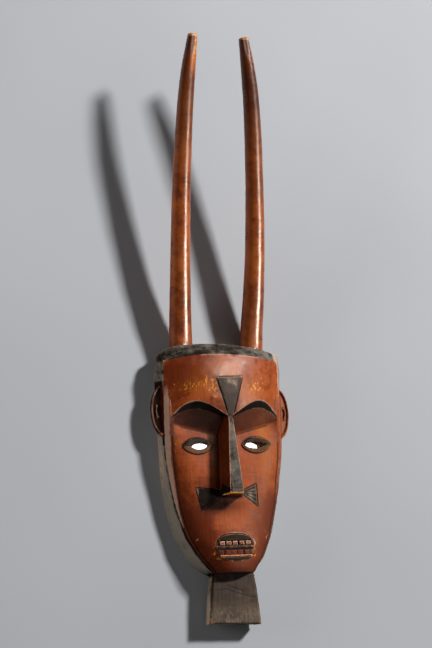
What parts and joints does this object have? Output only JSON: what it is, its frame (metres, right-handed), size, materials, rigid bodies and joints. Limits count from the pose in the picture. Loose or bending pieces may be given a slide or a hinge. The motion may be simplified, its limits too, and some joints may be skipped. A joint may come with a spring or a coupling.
{
  "type": "horned face mask",
  "caption": "Long face mask carved from one piece of wood, with arched brows, pierced almond eyes, a blade nose, a toothed mouth, side ears, tall bowed horns and a tab below the chin.",
  "frame": {"origin": "on the flat plane of the back rim, under the middle of the mask's whole width and length", "axes": "the mask lies on its back: +X to the viewer's right across the face, +Y up the face from the chin tab to the horn tips, +Z out of the face"},
  "size_m": [0.1906, 0.7672, 0.1054],
  "materials": {
    "stained_wood": "hand carved, stained red-brown with black painted parts, handled to a satin shine and worn pale at the edges"
  },
  "bodies": {
    "root": {"mask": "stained_wood"}
  },
  "joints": []
}
